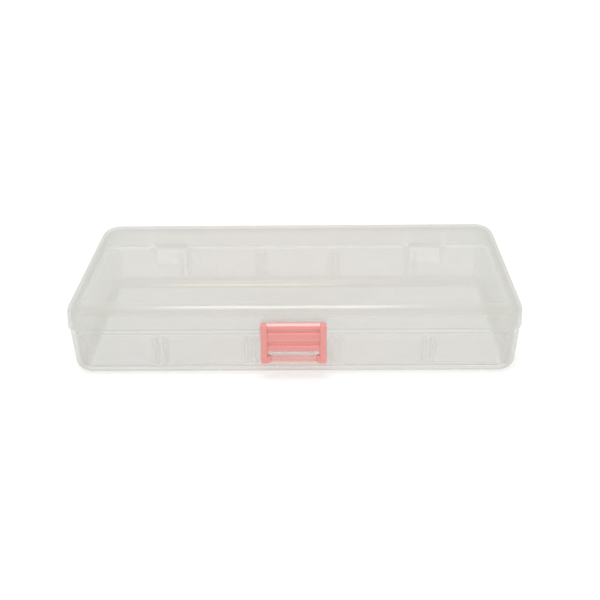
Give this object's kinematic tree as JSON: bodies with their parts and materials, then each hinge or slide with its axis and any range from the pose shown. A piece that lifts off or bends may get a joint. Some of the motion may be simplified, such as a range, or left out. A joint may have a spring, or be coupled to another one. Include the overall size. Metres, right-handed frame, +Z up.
{
  "type": "pencil case",
  "caption": "Slim hard pencil case: see-through tray with divider rails, back-hinged lid and a pivoting front snap latch.",
  "frame": {"origin": "middle of the closed case, on the surface it stands on", "axes": "+X along the length, -Y towards the front with the latch, +Z up"},
  "size_m": [0.2, 0.1084, 0.0346],
  "materials": {
    "tray_plastic": "natural see-through polypropylene, smooth moulded surface, faintly milky",
    "lid_plastic": "natural see-through polypropylene, smooth moulded surface, faintly milky",
    "latch_plastic": "salmon-pink opaque polypropylene, satin moulded surface"
  },
  "bodies": {
    "tray": {"tray": "tray_plastic"},
    "lid": {"lid": "lid_plastic"},
    "latch": {"latch": "latch_plastic"}
  },
  "joints": [
    {"name": "lid_hinge", "type": "hinge", "parent": "tray", "child": "lid", "pos_m": [0, 0.0519, 0.0196], "axis": [-1, 0, 0], "range_deg": [0, 180]},
    {"name": "latch_pivot", "type": "hinge", "parent": "tray", "child": "latch", "pos_m": [0, -0.0519, 0.0105], "axis": [1, 0, 0], "range_deg": [0, 110]}
  ]
}
